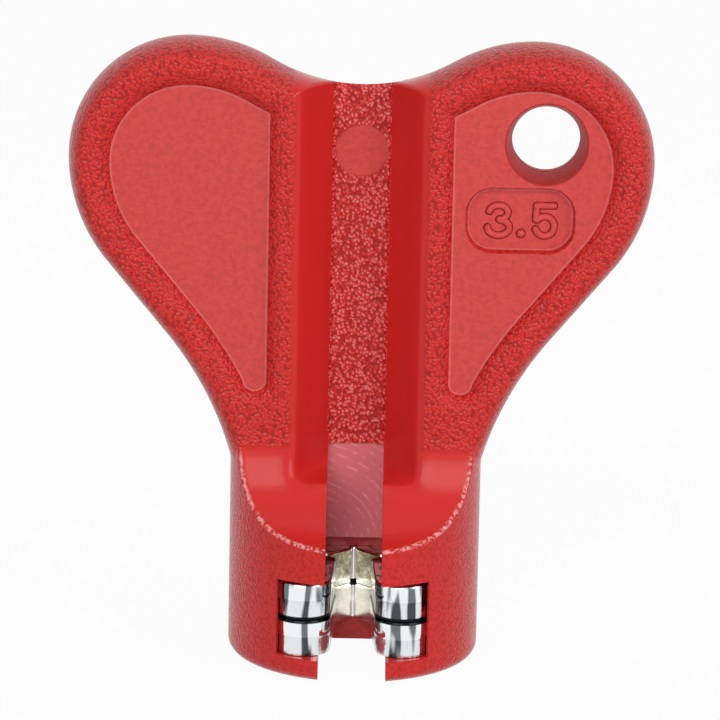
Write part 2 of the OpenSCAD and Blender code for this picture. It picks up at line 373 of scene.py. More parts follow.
def mark_corner(piece):
    """Puts the vertices near the corner in a group, each with how near it is."""
    group = piece.vertex_groups.new(name="corner")
    line = CORNER_OUT - CORNER_IN
    count = 0
    for vert in piece.data.vertices:
        at = Vector((abs(vert.co.x), vert.co.y, vert.co.z))
        if abs(at.z - LEDGE_H) < FILLET_FAR and at.y < FLOOR_BACK + 0.1 and at.x < ASIDE_NONE:
            share = min(max((at - CORNER_IN).dot(line) / line.length_squared, 0), 1)
            away = (at - CORNER_IN - line * share).length
            inside = min(1, (ASIDE_NONE - at.x) / (ASIDE_NONE - ASIDE_FULL))
            if away < FILLET_FAR:
                nearness = min(1, (FILLET_FAR - away) / (FILLET_FAR - FILLET_NEAR))
                group.add([vert.index], nearness * inside, "REPLACE")
                count += 1
    return count


print("Corner:", mark_corner(body), "vertices")
soften = body.modifiers.new("soften", "SMOOTH")
soften.factor, soften.iterations = MELT_FACTOR, round(FILLET_MM2 / VOXEL ** 2)
soften.vertex_group = "corner"
apply_modifiers(body)
body.vertex_groups.clear()
thin = body.modifiers.new("thin", "DECIMATE")
thin.ratio = min(1, SKIN_TRIANGLES / (2 * len(body.data.polygons)))
apply_modifiers(body)
print("Thinned:", len(body.data.polygons), "faces")

# %% [markdown]
# ## Crisp cuts
# The sunk panels, the slot, the windows and the hole come after the skin, because in the mould
# they are separate inserts with sharp corners, and a voxel skin would blur them. Each cutter
# carries the material of the faces that it leaves.

# %% Materials' names first, so that the cutters can carry them
def blank(name):
    material = bpy.data.materials.new(name)
    material.use_nodes = True
    return material


grained = blank("polyamide_spark_eroded")
satin = blank("polyamide_satin_panel")
polished = blank("polyamide_core_pin")
edge_highlight = blank("polyamide_painted_edge_highlight")
scraped = blank("polyamide_scraped_stop")
drawn = blank("polyamide_drawn_hole")
body.data.materials.clear()
body.data.materials.append(grained)


# %% A panel's outline, and a cutter over several of them
WALL_LEAN = math.radians(41)
WALL_ROUND = 1.7
FOOT_W = 0.12
FOOT_RISE = 0.25
# Width of the pale strip round a floor, a painted highlight along its edge.
PALE_W = 0.17
WALL_STEPS = 8


def panel_loop(bm, out, rise):
    """One loop of a panel's outline, moved outwards and up from its floor."""
    y = -half_t + PANEL_DEPTH - rise
    inner = PANEL_IN - out
    first, last = draw_wing(bm, y, RIM_W - out, inner, PANEL_TIP_H)
    middle = (inner + last.co.x) / 2
    before = set(bm.verts)
    last = swing(bm, last, (middle, y, PANEL_TIP_H), -180, 14)
    tip = [v for v in bm.verts if v not in before]
    bmesh.ops.translate(bm, vec=(-middle, 0, -PANEL_TIP_H), verts=tip)
    bmesh.ops.scale(bm, vec=(1, 1, (PANEL_TIP_R + out) / (middle - inner)), verts=tip)
    bmesh.ops.translate(bm, vec=(middle, 0, PANEL_TIP_H), verts=tip)
    bm.edges.new((last, first))


def lofted_cutter(name, draw_loop, levels, material):
    """Closes a cutter over loops that are drawn one above the other."""
    bm = bmesh.new()
    loops = []
    for out, rise in levels:
        before = set(bm.edges)
        draw_loop(bm, out, rise)
        loops.append([e for e in bm.edges if e not in before])
    for low, high in zip(loops, loops[1:]):
        bmesh.ops.bridge_loops(bm, edges=low + high)
    for loop in (loops[0], loops[-1]):
        bmesh.ops.contextual_create(bm, geom=loop)
    cutter = piece_from(bm, name)
    cutter.data.materials.append(material)
    return cutter


def paint_floor(cutter, floor_y):
    """Gives the cutter's floor its own material, and the strip round it the pale one, a painted
    highlight along the floor's edge.
    """
    cutter.data.materials.append(satin)
    cutter.data.materials.append(edge_highlight)
    flat = [f for f in cutter.data.polygons
            if all(abs(cutter.data.vertices[v].co.y - floor_y) < SEAM_WELD for v in f.vertices)]
    for face in flat:
        face.material_index = 1 if len(face.vertices) > 4 else 2


# %% Cutters for the four sunk panels
def panel_levels():
    """From the floor up its steep foot and the leaning wall, and round onto the crest."""
    drop = WALL_ROUND * (1 - math.cos(WALL_LEAN))
    wall_w = (PANEL_DEPTH - FOOT_RISE - drop) / math.tan(WALL_LEAN)
    levels = [(-PALE_W, 0), (0, 0), (FOOT_W, FOOT_RISE), (FOOT_W + wall_w, PANEL_DEPTH - drop)]
    for k in range(1, WALL_STEPS + 1):
        turn = WALL_LEAN * (1 - k / WALL_STEPS)
        levels.append((FOOT_W + wall_w + WALL_ROUND * (math.sin(WALL_LEAN) - math.sin(turn)),
                       PANEL_DEPTH - WALL_ROUND * (1 - math.cos(turn))))
    return levels + [(levels[-1][0], PANEL_DEPTH + OVER)]


def make_panel_cutter(x, y):
    cutter = lofted_cutter("panel_cutter", panel_loop, panel_levels(), grained)
    paint_floor(cutter, PANEL_DEPTH - half_t)
    cutter.data.transform(Matrix.Diagonal((x, y, 1, 1)))
    if x * y < 0:
        cutter.data.flip_normals()
    return cutter


for x in (1, -1):
    for y in (1, -1):
        combine(body, make_panel_cutter(x, y), "DIFFERENCE")

# %% [markdown]
# ## The slot, the jaws' seats and the windows
# Steel core pins form the slot, so its walls are smooth. Straight pins leave straight pockets:
# each is a cube operator stretched to its corners.

# %% Sizes of the slot and the jaws, in millimetres
SLOT_W = 5.1
STOP_TOP_H = 19.1
STOP_LOW_H = 10.1
STOP_STEP = 0.15
POCKET_BACK = 3.0
FOOT_SLOT_W = 6.1
FOOT_NECK_W = 4.1
FOOT_BACK = 2.8
FLATS = 3.5
PLATE_T = 3.4
JAW_LOW_H = 2.1
TIP_R = 2.5
TIP_X = 4.45
TIP_Y = -7.3
JAW_BACK = 7.5
JAW_CORNER_R = 4.0
JAW_GAP = 3.1
RELIEF_R = 0.25
WINDOW_W = 13.7
WINDOW_OVER = 0.3
WINDOW_FRONT = 8.4
CLEARANCE = 0.02
POCKET_LAP = 0.5
FOOT_LAP = 1.5

seam_h = JAW_LOW_H + PLATE_T
jaw_top_h = seam_h + PLATE_T
half_diagonal = FLATS / math.sqrt(2)
jaw_half_w = TIP_X + TIP_R


# %% Straight pockets
def box_cutter(bm, low, high):
    middle = (Vector(low) + Vector(high)) / 2
    size = Vector(high) - Vector(low)
    bmesh.ops.create_cube(bm, size=1,
                          matrix=Matrix.Translation(middle) @ Matrix.Diagonal((*size, 1)))


def cut_boxes(boxes, sides, back):
    for low, high in boxes:
        bm = bmesh.new()
        box_cutter(bm, low, high)
        cutter = piece_from(bm, "pocket")
        cutter.data.materials.append(sides)
        cutter.data.materials.append(back)
        for face in cutter.data.polygons:
            face.material_index = int(face.normal.y > 0.9)
        combine(body, cutter, "DIFFERENCE")


front = -BARREL_R - OVER
cut_boxes((
    ((-SLOT_W / 2, front, STOP_LOW_H), (SLOT_W / 2, FLOOR_BACK + STOP_STEP, STOP_TOP_H)),
), polished, scraped)
cut_boxes((
    ((-SLOT_W / 2, front, jaw_top_h - POCKET_LAP), (SLOT_W / 2, POCKET_BACK, STOP_LOW_H)),
    ((-WINDOW_W / 2, front, JAW_LOW_H), (WINDOW_W / 2, -WINDOW_FRONT, jaw_top_h + WINDOW_OVER)),
    ((-TIP_X, front, JAW_LOW_H), (TIP_X, TIP_Y + POCKET_LAP, jaw_top_h)),
), polished, polished)


# %% The opening through the base, wide in front and narrow behind
def make_foot_cutter():
    bm = bmesh.new()
    shoulder_in = half_diagonal - FOOT_SLOT_W / 2 - RELIEF_R
    neck_in = half_diagonal - FOOT_NECK_W / 2 + RELIEF_R
    vert = bm.verts.new((0, front, -OVER))
    for x, y in ((FOOT_SLOT_W / 2, front), (FOOT_SLOT_W / 2, shoulder_in),
                 (FOOT_NECK_W / 2, neck_in), (FOOT_NECK_W / 2, FOOT_BACK), (0, FOOT_BACK)):
        vert = straight(bm, vert, (x, y, -OVER))
    add_mirror_image(bm, SEAM_WELD)
    pull(bm, bmesh.ops.contextual_create(bm, geom=bm.edges)["faces"],
         (0, 0, JAW_LOW_H + FOOT_LAP))
    return piece_from(bm, "foot_cutter")


# %% The space that the plates fill
def jaw_outline(bm, z, extra):
    """Half of a plate's outside, from the middle of its back to the tip's inner side."""
    vert = bm.verts.new((0, JAW_BACK + extra, z))
    vert = straight(bm, vert, (jaw_half_w - JAW_CORNER_R, JAW_BACK + extra, z))
    vert = swing(bm, vert, (jaw_half_w - JAW_CORNER_R, JAW_BACK - JAW_CORNER_R, z), -90, 16,
                 FROM_ABOVE)
    vert = straight(bm, vert, (jaw_half_w + extra, TIP_Y, z))
    return swing(bm, vert, (TIP_X, TIP_Y, z), -180, 40, FROM_ABOVE)


def make_jaw_space():
    bm = bmesh.new()
    z = JAW_LOW_H - CLEARANCE
    vert = jaw_outline(bm, z, CLEARANCE)
    straight(bm, vert, (0, TIP_Y, z))
    add_mirror_image(bm, SEAM_WELD)
    pull(bm, bmesh.ops.contextual_create(bm, geom=bm.edges)["faces"],
         (0, 0, 2 * (PLATE_T + CLEARANCE)))
    return piece_from(bm, "jaw_space")


for cutter, material in ((make_foot_cutter(), satin), (make_jaw_space(), polished)):
    cutter.data.materials.append(material)
    combine(body, cutter, "DIFFERENCE")

# %% [markdown]
# ## The hanging hole
# Two pins meet in the middle of the wing, one from each half of the mould. Each has a taper, so
# the hole widens to both faces, and a hair of flash stands where they meet. The cutter is that
# profile, spun a full turn.

# %% The hole
HOLE_R = 3.1
HOLE_FLARE = 0.5
HOLE_X = 16.5
HOLE_H = HEIGHT - 8.6
HOLE_STRAIGHT = 1.1
HOLE_LIP = 0.2
FLASH = 0.05


def make_hole_cutter():
    bm = bmesh.new()
    floor = half_t - PANEL_DEPTH
    mouth = HOLE_R + HOLE_FLARE
    half = [(0, -WING_T), (mouth + HOLE_LIP, -WING_T), (mouth + HOLE_LIP, -floor - 0.01),
            (mouth + HOLE_LIP / 4, -floor + HOLE_LIP / 4), (mouth, -floor + HOLE_LIP),
            (HOLE_R, -HOLE_STRAIGHT), (HOLE_R, -FLASH), (HOLE_R - FLASH, 0)]
    points = half + [(r, -y) for r, y in reversed(half[:-1])]
    vert = bm.verts.new((points[0][0], points[0][1], 0))
    for r, y in points[1:]:
        vert = straight(bm, vert, (r, y, 0))
    bmesh.ops.spin(bm, geom=bm.verts[:] + bm.edges[:], cent=(0, 0, 0), axis=(0, 1, 0),
                   angle=2 * math.pi, steps=96, use_merge=True)
    bmesh.ops.translate(bm, vec=(HOLE_X, 0, HOLE_H), verts=bm.verts)
    cutter = piece_from(bm, "hole_cutter")
    cutter.data.materials.append(drawn)
    return cutter


combine(body, make_hole_cutter(), "DIFFERENCE")

# %% [markdown]
# ## The ejector's mark
# A round pin pushes the moulding out of the mould and leaves a round, slightly sunk mark on the
# groove's floor.

# %% The mark
EJECTOR_R = 2.4
EJECTOR_H = HEIGHT - DIP_DROP - 6.2
EJECTOR_DEPTH = 0.16


def make_ejector_cutter():
    bm = bmesh.new()
    bmesh.ops.create_cone(bm, cap_ends=True, segments=72, radius1=EJECTOR_R, radius2=EJECTOR_R,
                          depth=2, matrix=Matrix.Translation((0, FLOOR_BACK + EJECTOR_DEPTH - 1,
                                                              EJECTOR_H))
                          @ Matrix.Rotation(math.pi / 2, 4, "X"))
    cutter = piece_from(bm, "ejector_cutter")
    cutter.data.materials.append(satin)
    return cutter


combine(body, make_ejector_cutter(), "DIFFERENCE")

# %% [markdown]
# ## The plaque and its size
# The mould has a loose insert for the nipple's size, so the plaque lies a little below the panel
# and its walls lean out, which lets the insert go. The number is the width of the nipple in
# millimetres. Its strokes were cut in the insert with a ball cutter, so on the moulding they
# stand out half round: a round wire, sunk to its middle.

# %% The plaque
PLAQUE_W = 9.8
PLAQUE_H = 6.0
PLAQUE_R = 2.4
PLAQUE_DEPTH = 0.7
PLAQUE_X = 14.3
PLAQUE_Z = HOLE_H - 7.0
PLAQUE_DRAFT = 0.2

plaque_y = -half_t + PANEL_DEPTH + PLAQUE_DEPTH


def plaque_loop(bm, out, rise):
    """One loop of the plaque's outline, moved outwards and up from its floor."""
    y = plaque_y - rise
    ax, az = PLAQUE_W / 2 - PLAQUE_R, PLAQUE_H / 2 - PLAQUE_R
    centres = ((ax, az), (ax, -az), (-ax, -az), (-ax, az))
    first = vert = bm.verts.new((PLAQUE_X + ax, y, PLAQUE_Z + az + PLAQUE_R + out))
    for (x, z), (next_x, next_z) in zip(centres, centres[1:] + centres[:1]):
        vert = swing(bm, vert, (PLAQUE_X + x, y, PLAQUE_Z + z), -90, 14)
        if (next_x, next_z) != centres[0]:
            vert = straight(bm, vert, vert.co + Vector((next_x - x, 0, next_z - z)))
    bm.edges.new((vert, first))


plaque_levels = ((-PLAQUE_DRAFT - 0.15, 0), (-PLAQUE_DRAFT, 0), (-0.02, PLAQUE_DEPTH - 0.03),
                 (0.04, PLAQUE_DEPTH), (0.05, PLAQUE_DEPTH + 0.5))
plaque_cutter = lofted_cutter("plaque_cutter", plaque_loop, plaque_levels, grained)
paint_floor(plaque_cutter, plaque_y)
combine(body, plaque_cutter, "DIFFERENCE")

# %% The number's strokes, measured from the middle of the plaque
STROKE_R = 0.3
STROKE_SINK = 0.04


def bow(x, z, half_w, half_h, begin, end, steps=16):
    """Points on an oval arc; the angles are in degrees, from the right, counterclockwise."""
    turns = [math.radians(begin + (end - begin) * k / steps) for k in range(steps + 1)]
    return [(x + half_w * math.cos(t), z + half_h * math.sin(t)) for t in turns]


strokes = (bow(-1.95, 0.62, 0.84, 0.64, 172, -84), bow(-1.94, -0.77, 0.98, 0.72, 84, -180),
           [(3.0, 1.31), (1.46, 1.31)], [(1.46, 1.31), (1.4, 0.02)],
           bow(2.2, -0.58, 0.86, 0.9, 138, -162))
dot = (0.08, -1.28)
DOT_R = 0.38
RELIEF_W = 0.08


# %% A round wire along the points
def round_end(point, r, operation):
    bm = bmesh.new()
    at = Matrix.Translation((PLAQUE_X + point[0], plaque_y + STROKE_SINK, PLAQUE_Z + point[1]))
    bmesh.ops.create_uvsphere(bm, u_segments=24, v_segments=16, radius=r, matrix=at)
    ball = piece_from(bm, "stroke_end")
    ball.data.materials.append(satin)
    combine(body, ball, operation)


def round_stroke(points, r, operation):
    """One stroke with round ends, half sunk into the plaque."""
    curve = bpy.data.curves.new("stroke", "CURVE")
    curve.dimensions, curve.bevel_depth, curve.bevel_resolution = "3D", r, 3
    curve.use_fill_caps = True
    line = curve.splines.new("POLY")
    line.points.add(len(points) - 1)
    for point, (x, z) in zip(line.points, points):
        point.co = (PLAQUE_X + x, plaque_y + STROKE_SINK, PLAQUE_Z + z, 1)
    wire = bpy.data.objects.new("stroke", curve)
    bpy.context.scene.collection.objects.link(wire)
    mesh = bpy.data.meshes.new_from_object(wire)
    bpy.data.objects.remove(wire)
    bm = bmesh.new()
    bm.from_mesh(mesh)
    bpy.data.meshes.remove(mesh)
    stroke = piece_from(bm, "stroke", SEAM_WELD)
    stroke.data.materials.append(satin)
    combine(body, stroke, operation)
    for point in (points[0], points[-1]):
        round_end(point, r, operation)


# %% First the fine groove round each stroke, then the strokes
for extra, operation in ((RELIEF_W, "DIFFERENCE"), (0, "UNION")):
    for points in strokes:
        round_stroke(points, STROKE_R + extra, operation)
    round_end(dot, DOT_R + extra, operation)

# %% [markdown]
# ## Finishing the handle
# The flat faces and the round ones share one mesh, so the shading is smooth all over and sharp
# only where two faces meet at a clear angle. Weighted normals lean each vertex towards its
# larger faces, which keeps the flat panels flat up to their edges. Then the millimetres become
# metres in the mesh itself, and the piece takes the solid's place.

# %% From a shape to a piece
SHARP = math.radians(28)


def finish_piece(piece, name, node):
    """Shades a shape, turns it to metres and lets it stand for a node."""
    piece.name = piece.data.name = name
    piece.data.transform(Matrix.Scale(MM, 4))
    piece.data.shade_smooth()
    piece.data.set_sharp_from_angle(angle=SHARP)
    weigh = piece.modifiers.new("weigh", "WEIGHTED_NORMAL")
    weigh.keep_sharp, weigh.weight = True, 80
    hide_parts(node)
    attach(piece, "root")
    corners = [Vector(c) / MM for c in piece.bound_box]
    print(name, "has", len(piece.data.polygons), "faces and goes from",
          [round(min(c[k] for c in corners), 2) for k in range(3)], "to",
          [round(max(c[k] for c in corners), 2) for k in range(3)])


finish_piece(body, "moulded_handle", "handle")

# %% [markdown]
# ## The jaws
# Each jaw is stamped from 3.4 mm steel sheet. A punch bends the sheet a little before it shears:
# the upper edge rolls over, the upper part of the cut is burnished to a mirror and the rest
# tears, which leaves it rougher and a hair smaller. The seat's corners are relieved with a small
# round, so that the nipple's corners stay free.

# %% One half of a plate's outline, from above
def draw_jaw_half(bm, z, inset):
    """From the middle of the back round the outside and the tip to the back of the seat."""
    vert = bm.verts.new((0, JAW_BACK - inset, z))
    side_x, back_y = jaw_half_w - JAW_CORNER_R, JAW_BACK - JAW_CORNER_R
    vert = straight(bm, vert, (side_x, JAW_BACK - inset, z))
    vert = swing(bm, vert, (side_x, back_y, z), -90, 16, FROM_ABOVE)
    vert = straight(bm, vert, (jaw_half_w - inset, TIP_Y, z))
    vert = swing(bm, vert, (TIP_X, TIP_Y, z), -180, 40, FROM_ABOVE)
    gap = JAW_GAP / 2 + inset
    vert = straight(bm, vert, (gap, gap - half_diagonal - inset * math.sqrt(2), z))
    r = RELIEF_R + inset
    touch = 45 + math.degrees(math.acos(inset / r))
    begin = math.radians(touch)
    vert = straight(bm, vert, (half_diagonal + r * math.cos(begin), -r * math.sin(begin), z))
    vert = swing(bm, vert, (half_diagonal, 0, z), 2 * touch, 12, FROM_ABOVE)
    vert = straight(bm, vert, (r * math.sin(begin), half_diagonal + r * math.cos(begin), z))
    return swing(bm, vert, (0, half_diagonal, z), touch, 6, FROM_ABOVE)


# %% Both plates, as lofts from the torn lower edge to the rolled upper one
JAW_LEVELS = ((0.16, 0.0), (0.09, 0.06), (0.07, 0.5), (0.07, 1.0), (0.06, 1.5), (0.04, 1.72),
              (0.0, 1.84), (0.0, 2.4), (0.0, 3.0), (0.02, 3.16), (0.07, 3.29), (0.15, 3.37),
              (0.26, 3.4))
BURNISHED_FROM = 1.78
SEAT_REACH = half_diagonal + 0.5
SEAT_FRONT = -1.2
RELIEF_HALF = 0.27

plated = blank("nickel_plated_burnished_edge")
torn = blank("nickel_plated_torn_edge")
seat_steel = blank("worn_steel_seat")
relief_steel = blank("nickel_plated_relief")


def make_jaw(name, low_h):
    bm = bmesh.new()
    loops = []
    for inset, rise in JAW_LEVELS:
        before = set(bm.edges)
        draw_jaw_half(bm, low_h + rise, inset)
        loops.append([e for e in bm.edges if e not in before])
    for low, high in zip(loops, loops[1:]):
        bmesh.ops.bridge_loops(bm, edges=low + high)
    add_mirror_image(bm, WELD)
    rims = [e for e in bm.edges if e.is_boundary]
    for z in (low_h, low_h + PLATE_T):
        rim = [e for e in rims if all(abs(v.co.z - z) < SEAM_WELD for v in e.verts)]
        bmesh.ops.contextual_create(bm, geom=rim)
    jaw = piece_from(bm, name)
    for material in (plated, torn, seat_steel, relief_steel):
        jaw.data.materials.append(material)
    for face in jaw.data.polygons:
        x, y, z = face.center
        in_seat = abs(x) < SEAT_REACH and SEAT_FRONT < y < SEAT_REACH
        if abs(face.normal.z) < 0.9 and in_seat:
            face.material_index = 3 if abs(x) < RELIEF_HALF else 2
        elif z - low_h < BURNISHED_FROM:
            face.material_index = 1
    return jaw


for node, low_h in (("upper_jaw_plate", seam_h), ("lower_jaw_plate", JAW_LOW_H)):
    finish_piece(make_jaw(node, low_h), "stamped_" + node, node)

# %% [markdown]
# ## Colours and nodes
# Colours are written as sRGB hex values, as one picks them from a picture, and turned to the
# linear values that light adds up in. One small function adds a node, whatever its kind.

# %% Helpers for materials
def linear(colour):
    """An sRGB hex colour as linear values."""
    parts = [int(colour[k:k + 2], 16) / 255 for k in (1, 3, 5)]
    return [v / 12.92 if v <= 0.04045 else ((v + 0.055) / 1.055) ** 2.4 for v in parts] + [1]


def add(owner, kind, settings=None, links=None):
    """Adds a node with its settings, by name or input number, and its links."""
    node = owner.node_tree.nodes.new("ShaderNode" + kind)
    for name, value in (settings or {}).items():
        if isinstance(name, int) or name in node.inputs:
            node.inputs[name].default_value = value
        else:
            setattr(node, name, value)
    for name, output in (links or {}).items():
        owner.node_tree.links.new(output, node.inputs[name])
    return node


def start(material):
    """Empties a material and returns its Object coordinates, in metres."""
    material.node_tree.nodes.clear()
    return add(material, "TexCoord").outputs["Object"]


def close(material, shader):
    add(material, "OutputMaterial", links={"Surface": shader.outputs[0]})


# %% [markdown]
# ## Red plastic, three mould finishes
# The handle is red plastic, taken here for polyamide. Most of the mould looks spark-eroded,
# which leaves shallow beads a third of a millimetre apart with creases between them: from
# afar a dull red, near by a glitter of small facets. The creases get painted shade, and the
# bead tops on the groove's floor and specks along the ramps' edge get a painted highlight.
# The sunk panels have a finer, even grain, and the faces that the pins left are smooth. SHINE
# keeps what the plastic mirrors low, because the room is white all round and would veil the red.

# %% The red and the shine of the plastic
RED = "#CE2A26"
NYLON_IOR = 1.53
SHINE = 0.2


def fade(material, value, low, high, start=0.0, end=1.0):
    """A smooth step from start to end while a value goes from low to high."""
    return add(material, "MapRange", {"interpolation_type": "SMOOTHSTEP", "From Min": low,
                                      "From Max": high, "To Min": start, "To Max": end},
               {"Value": value}).outputs[0]


def pick(material, operation, first, second):
    """Works out one value from two, such as their product or the larger one."""
    return add(material, "Math", {"operation": operation}, {0: first, 1: second}).outputs[0]


def magnitude(material, value):
    return add(material, "Math", {"operation": "ABSOLUTE"}, {0: value}).outputs[0]


def close_nylon(material, roughness, colour, normal):
    """Ends a plastic material with its shader."""
    shader = add(material, "BsdfPrincipled",
                 {"Roughness": roughness, "IOR": NYLON_IOR, "Specular IOR Level": SHINE},
                 {"Base Color": colour, "Normal": normal})
    close(material, shader)


# %% Where the grain changes and where the painted highlight lies on the ramps' edge, in metres
FLOOR_STARTS = (1.1 * MM, 1.3 * MM)
FLOOR_ENDS = (2.4 * MM, 2.0 * MM)
FLOOR_SIDES = (2.8 * MM, 2.6 * MM)
WALLS_END = (5.7 * MM, 6.3 * MM)
RAMP_ENDS = (19.8 * MM, 20.4 * MM)
RAMP_BELOW = (20.4 * MM, 19.8 * MM)
BARREL_SIDE = (10.9 * MM, 11.2 * MM)
EDGE_SIDE = (11.0 * MM, 11.25 * MM)
EDGE_BELOW = (-0.35 * MM, -0.1 * MM)
EDGE_OFF_WING = (4.1 * MM, 4.4 * MM)


def coarse_zones(material, place):
    """1 where the beads are, half on the barrel's side, 0 on the groove's walls and the ramps."""
    axes = add(material, "SeparateXYZ", links={"Vector": place})
    aside = magnitude(material, axes.outputs["X"])
    deep = fade(material, axes.outputs["Y"], *FLOOR_STARTS)
    off_walls = pick(material, "MAXIMUM", fade(material, aside, *WALLS_END), deep)
    off_ramp = fade(material, axes.outputs["Z"], *RAMP_ENDS)
    from_axis = distance_from_axis(material, place)
    on_barrel = pick(material, "MULTIPLY", fade(material, from_axis, *BARREL_SIDE, 0.0, 0.5),
                     fade(material, axes.outputs["Z"], *RAMP_BELOW))
    on_floor = groove_floor(material, place)
    kept = pick(material, "MULTIPLY", off_walls, pick(material, "MAXIMUM", off_ramp, on_floor))
    return pick(material, "MAXIMUM", kept, on_barrel)


def groove_floor(material, place):
    """1 on the groove's floor."""
    axes = add(material, "SeparateXYZ", links={"Vector": place})
    aside = magnitude(material, axes.outputs["X"])
    within = pick(material, "MULTIPLY", fade(material, axes.outputs["Y"], *FLOOR_STARTS),
                  fade(material, axes.outputs["Y"], *FLOOR_ENDS))
    return pick(material, "MULTIPLY", within, fade(material, aside, *FLOOR_SIDES))


def distance_from_axis(material, place):
    flat = add(material, "VectorMath", {"operation": "MULTIPLY", 1: (1, 1, 0)}, {0: place})
    return add(material, "VectorMath", {"operation": "LENGTH"},
               {0: flat.outputs[0]}).outputs["Value"]


def ramp_edge_highlight(material, place):
    """1 along the edge where the ramps leave the barrel's round side, in specks: a painted
    highlight.
    """
    axes = add(material, "SeparateXYZ", links={"Vector": place})
    far = magnitude(material, axes.outputs["Y"])
    reach = add(material, "Math", {"operation": "SUBTRACT", 0: (COVE_R + half_t) * MM}, {1: far})
    square = pick(material, "MULTIPLY", reach.outputs[0], reach.outputs[0])
    rest = add(material, "Math", {"operation": "SUBTRACT", 0: (COVE_R * MM) ** 2}, {1: square})
    root = add(material, "Math", {"operation": "SQRT"}, {0: rest.outputs[0]})
    cove_h = add(material, "Math", {"operation": "SUBTRACT", 0: cove_top_h * MM},
                 {1: root.outputs[0]}).outputs[0]
    above = pick(material, "SUBTRACT", axes.outputs["Z"], cove_h)
    on_edge = pick(material, "MULTIPLY",
                   fade(material, distance_from_axis(material, place), *EDGE_SIDE),
                   fade(material, above, *EDGE_BELOW))
    on_edge = pick(material, "MULTIPLY", on_edge, fade(material, far, *EDGE_OFF_WING))
    specks = add(material, "TexNoise", {"Scale": 1 / (0.35 * MM), "Detail": 2.0},
                 {"Vector": place})
    return pick(material, "MULTIPLY", on_edge, fade(material, specks.outputs[0], 0.4, 0.6))


def beads(material, place):
    """Small cones with creases between them, as high as 1 in their middle."""
    drift = add(material, "TexNoise", {"Scale": 1 / (0.9 * MM), "Detail": 1.0}, {"Vector": place})
    centred = add(material, "VectorMath", {"operation": "SUBTRACT", 1: (0.5, 0.5, 0.5)},
                  {0: drift.outputs["Color"]})
    shifted = add(material, "VectorMath", {"operation": "MULTIPLY_ADD", 1: (BEAD_DRIFT * MM,) * 3},
                  {0: centred.outputs[0], 2: place})
    cells = add(material, "TexVoronoi", {"feature": "SMOOTH_F1", "Scale": 1 / (BEAD * MM),
                                         "Smoothness": 0.3}, {"Vector": shifted.outputs[0]})
    return add(material, "Math", {"operation": "SUBTRACT", 0: 1.0},
               {1: cells.outputs["Distance"]}).outputs[0]


def spark_eroded(material, colour, crease_shade, highlight_pink, roughness):
    """Red plastic with beads in the coarse zones and a fine grain everywhere.

    It has painted shade in the creases between the beads, and a painted highlight on the bead
    tops of the groove's floor and along the ramps' edge."""
    place = start(material)
    zones = coarse_zones(material, place)
    height = beads(material, place)
    coarse = add(material, "Bump", {"Strength": 1.0, "Distance": BEAD_H * MM},
                 {"Height": pick(material, "MULTIPLY", height, zones)})
    fine = add(material, "TexNoise", {"Scale": 1 / (0.16 * MM), "Detail": 1.5}, {"Vector": place})
    both = add(material, "Bump", {"Strength": 1.0, "Distance": 0.006 * MM},
               {"Height": fine.outputs[0], "Normal": coarse.outputs[0]})
    # Painted shade: the creases between the beads are darker.
    deep = pick(material, "MULTIPLY", fade(material, height, 0.5, 0.3), zones)
    tint = add(material, "Mix", {"data_type": "RGBA", 6: linear(colour), 7: linear(crease_shade)},
               {0: deep})
    # Painted highlight: the bead tops on the groove's floor are paler.
    bead_top_highlight = pick(material, "MULTIPLY", fade(material, height, 0.5, 0.85, 0.0, 0.6),
                  groove_floor(material, place))
    tint = add(material, "Mix", {"data_type": "RGBA", 7: linear(highlight_pink)},
               {0: bead_top_highlight, 6: tint.outputs[2]})
    # Painted highlight: pale specks along the ramps' edge.
    final_tone = add(material, "Mix", {"data_type": "RGBA", 7: linear(highlight_pink)},
               {0: ramp_edge_highlight(material, place), 6: tint.outputs[2]})
    close_nylon(material, roughness, final_tone.outputs[2], both.outputs[0])


CLOUDED = 0.86


def nylon(material, colour, roughness, grains):
    """Red plastic with grains: each has its pitch and height in mm and its distortion."""
    place = start(material)
    normal = None
    for pitch, height, distortion in grains:
        grain = add(material, "TexNoise", {"Scale": 1 / (pitch * MM), "Detail": 1.5,
                                           "Roughness": 0.5, "Distortion": distortion},
                    {"Vector": place}).outputs[0]
        links = {"Height": grain}
        if normal:
            links["Normal"] = normal
        bump = add(material, "Bump", {"Strength": 1.0, "Distance": height * MM}, links)
        normal = bump.outputs[0]
    tone = add(material, "TexNoise", {"Scale": 1 / (0.5 * MM), "Detail": 4.0}, {"Vector": place})
    dark = [c * CLOUDED for c in linear(colour)[:3]] + [1]
    ramp = add(material, "ValToRGB", links={"Fac": tone.outputs[0]})
    ramp.color_ramp.elements[0].position, ramp.color_ramp.elements[0].color = 0.35, dark
    ramp.color_ramp.elements[1].position, ramp.color_ramp.elements[1].color = 0.6, linear(colour)
    close_nylon(material, roughness, ramp.outputs[0], normal)


RING_PITCH = 0.314
SCRATCH_CENTRE = (4.5 * MM, 0, -9 * MM)


